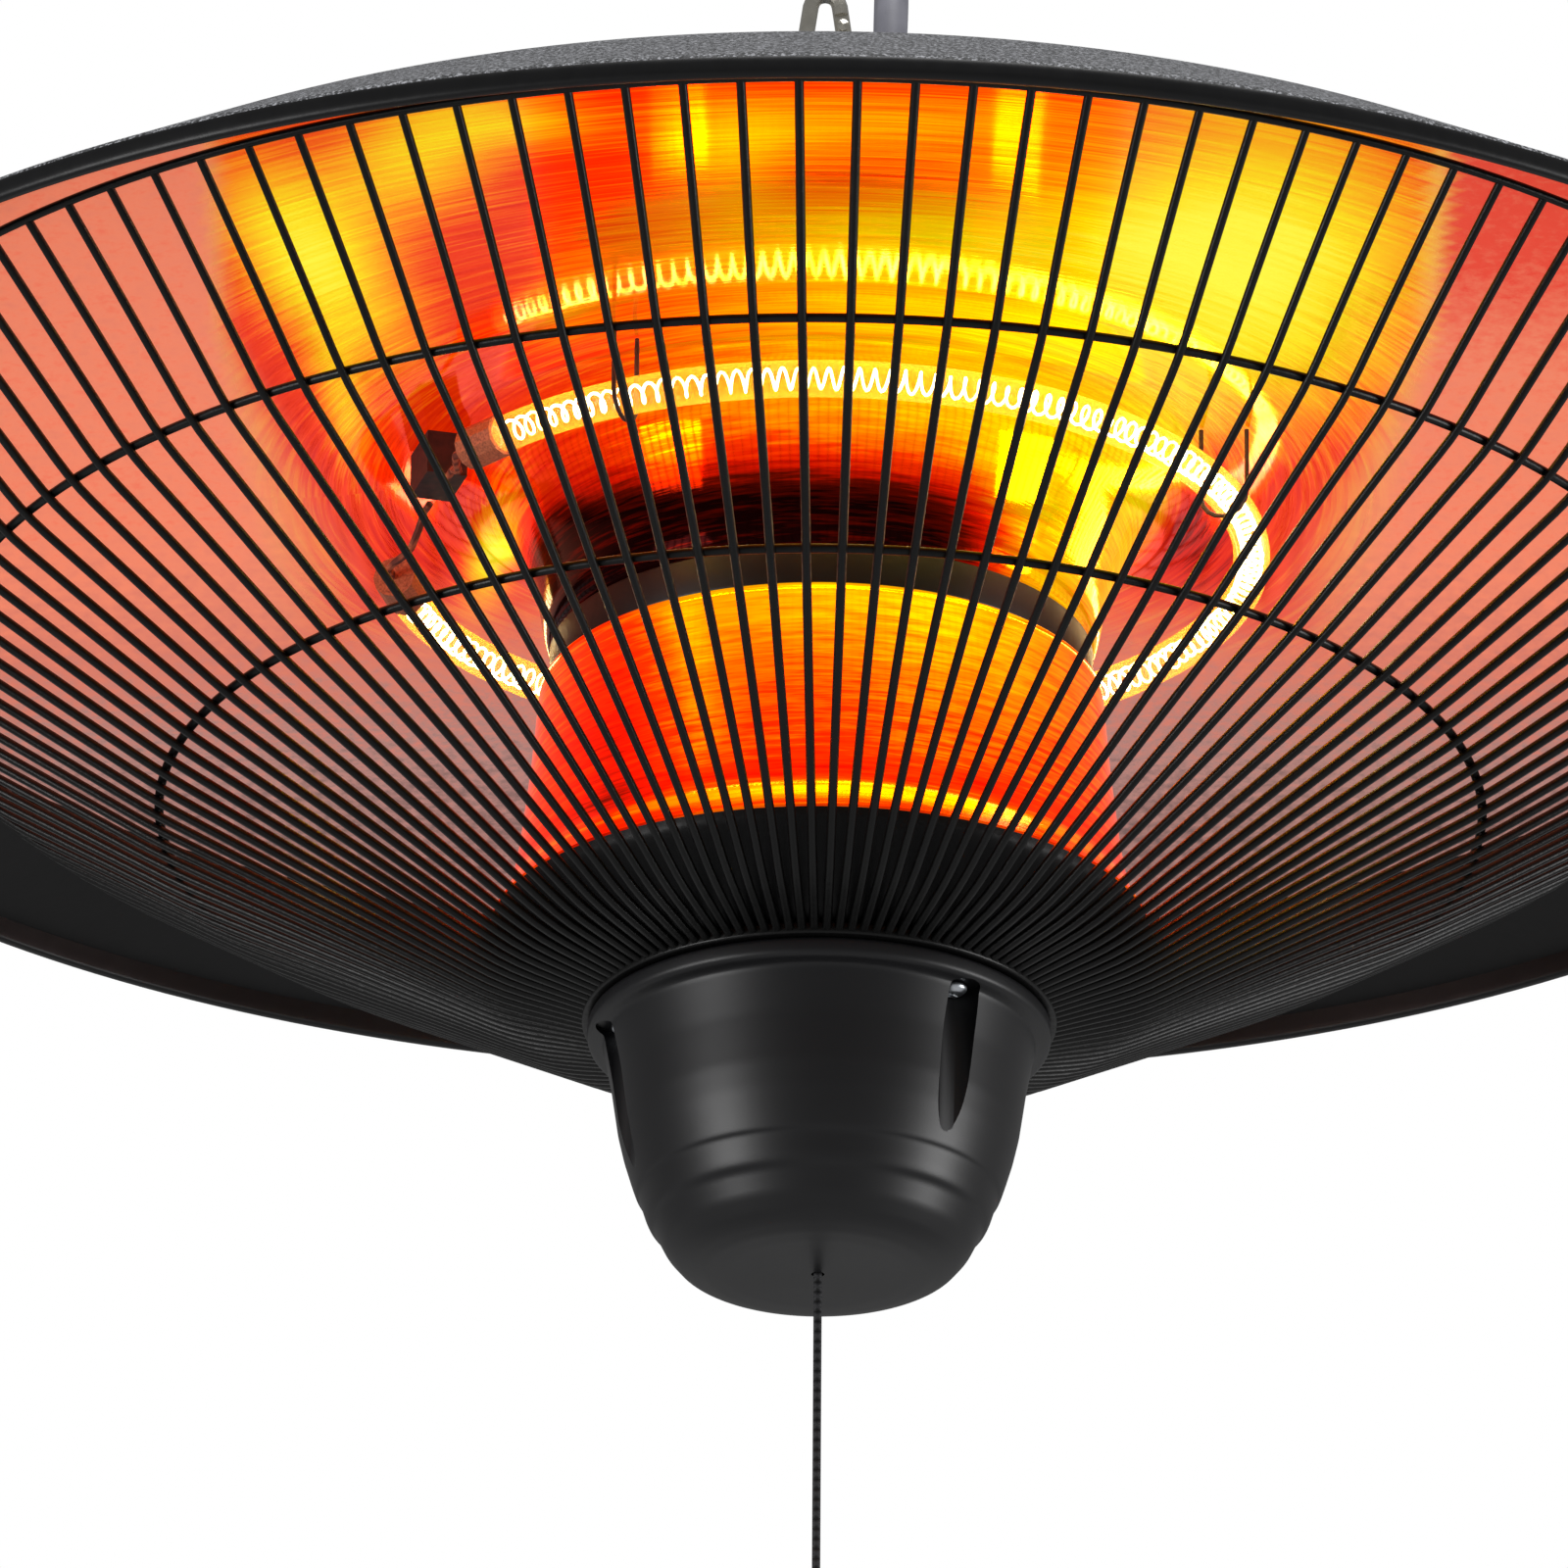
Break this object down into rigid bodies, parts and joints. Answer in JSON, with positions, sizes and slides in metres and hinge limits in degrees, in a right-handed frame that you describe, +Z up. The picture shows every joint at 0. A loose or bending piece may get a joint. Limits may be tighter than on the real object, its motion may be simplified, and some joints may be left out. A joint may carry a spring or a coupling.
{
  "type": "hanging infrared heater",
  "caption": "Umbrella shaped infrared heater with a ring lamp, polished reflector, round wire guard and pull cord switch, hung from a snap hook.",
  "frame": {"origin": "inner top of the snap hook's bend, where the heater bears on what holds it", "axes": "+Z up along the heater's own axis, +X towards the hook's gate, -Y towards the front, the heater swings about X"},
  "size_m": [0.6, 0.6, 0.5986],
  "materials": {
    "nickel_wire": "polished",
    "zinc_plate": "zinc plated",
    "textured_grey_paint": "textured powder coat",
    "black_paint": "satin",
    "guard_paint": "satin",
    "polished_aluminium": "polished",
    "quartz_glass": "clear",
    "glowing_filament": "incandescent",
    "white_ceramic": "unglazed ceramic",
    "dark_holder": "unglazed ceramic",
    "black_plastic": "satin",
    "switch_plastic": "satin",
    "black_cord": "braided",
    "cable_grey": "matte",
    "heat_sleeve": "glass fibre sleeve",
    "nickel_pins": "nickel plated"
  },
  "bodies": {
    "hanger": {"hook_body": "nickel_wire", "gate_rivet": "nickel_wire"},
    "gate": {"hook_gate": "nickel_wire"},
    "heater": {"cable_coil": "cable_grey", "cable_gland": "black_plastic", "cable_tie": "black_plastic", "canopy": "textured_grey_paint", "clamp_plate": "zinc_plate", "coupling_nut": "zinc_plate", "cup_screw_1": "zinc_plate", "cup_screw_2": "zinc_plate", "cup_screw_3": "zinc_plate", "eye_bolt": "nickel_wire", "eye_nut": "zinc_plate", "filament": "glowing_filament", "gland_nut": "black_plastic", "guard_clip_1": "black_paint", "guard_clip_2": "black_paint", "guard_clip_3": "black_paint", "guard_clip_4": "black_paint", "guard_ring_inner": "guard_paint", "guard_ring_middle": "guard_paint", "guard_wires": "guard_paint", "hub_base": "black_paint", "hub_skirt": "polished_aluminium", "lamp_cap_1": "white_ceramic", "lamp_cap_2": "white_ceramic", "lamp_clip_1": "zinc_plate", "lamp_clip_2": "zinc_plate", "lamp_clip_3": "zinc_plate", "lamp_feed": "heat_sleeve", "lamp_holder": "dark_holder", "lamp_lead_1": "heat_sleeve", "lamp_lead_2": "heat_sleeve", "lower_tube_nut": "zinc_plate", "neck_ring": "black_paint", "plug_body": "black_plastic", "plug_cable": "cable_grey", "plug_pin_1": "nickel_pins", "plug_pin_2": "nickel_pins", "plug_relief": "black_plastic", "power_cable": "cable_grey", "quartz_tube": "quartz_glass", "reflector": "polished_aluminium", "return_spring": "nickel_wire", "strain_relief": "black_plastic", "supply_lead": "heat_sleeve", "support_tube": "zinc_plate", "switch_cover": "switch_plastic", "switch_cup": "black_plastic", "switch_housing": "switch_plastic", "switch_lead": "heat_sleeve", "terminal_block": "white_ceramic", "top_plate": "zinc_plate", "upper_tube_nut": "zinc_plate"},
    "pull": {"actuator": "switch_plastic", "pull_cord": "black_cord", "pull_knob": "black_plastic"},
    "rotor": {"ratchet_wheel": "switch_plastic"}
  },
  "joints": [
    {"name": "gate_hinge", "type": "hinge", "parent": "hanger", "child": "gate", "pos_m": [0.00442, 0, -0.0071], "axis": [0, 1, 0], "range_deg": [0, 20], "stiffness_Nm_per_rad": 0.05, "springref_deg": -11.46},
    {"name": "heater_swing", "type": "hinge", "parent": "hanger", "child": "heater", "pos_m": [0, 0, -0.0491], "axis": [1, 0, 0], "range_deg": [-35, 35]},
    {"name": "pull_slide", "type": "slide", "parent": "heater", "child": "pull", "axis": [0, 0, -1], "range_m": [0, 0.008], "stiffness_N_per_m": 400, "springref_m": -0.004, "deforming": ["return_spring"]},
    {"name": "ratchet_turn", "type": "hinge", "parent": "heater", "child": "rotor", "pos_m": [0.0096, 0, -0.3214], "axis": [0, 1, 0], "range_deg": [0, 90]}
  ],
  "couplings": [
    {"joint": "ratchet_turn", "follows": "pull_slide", "rad_per_m": 196}
  ]
}
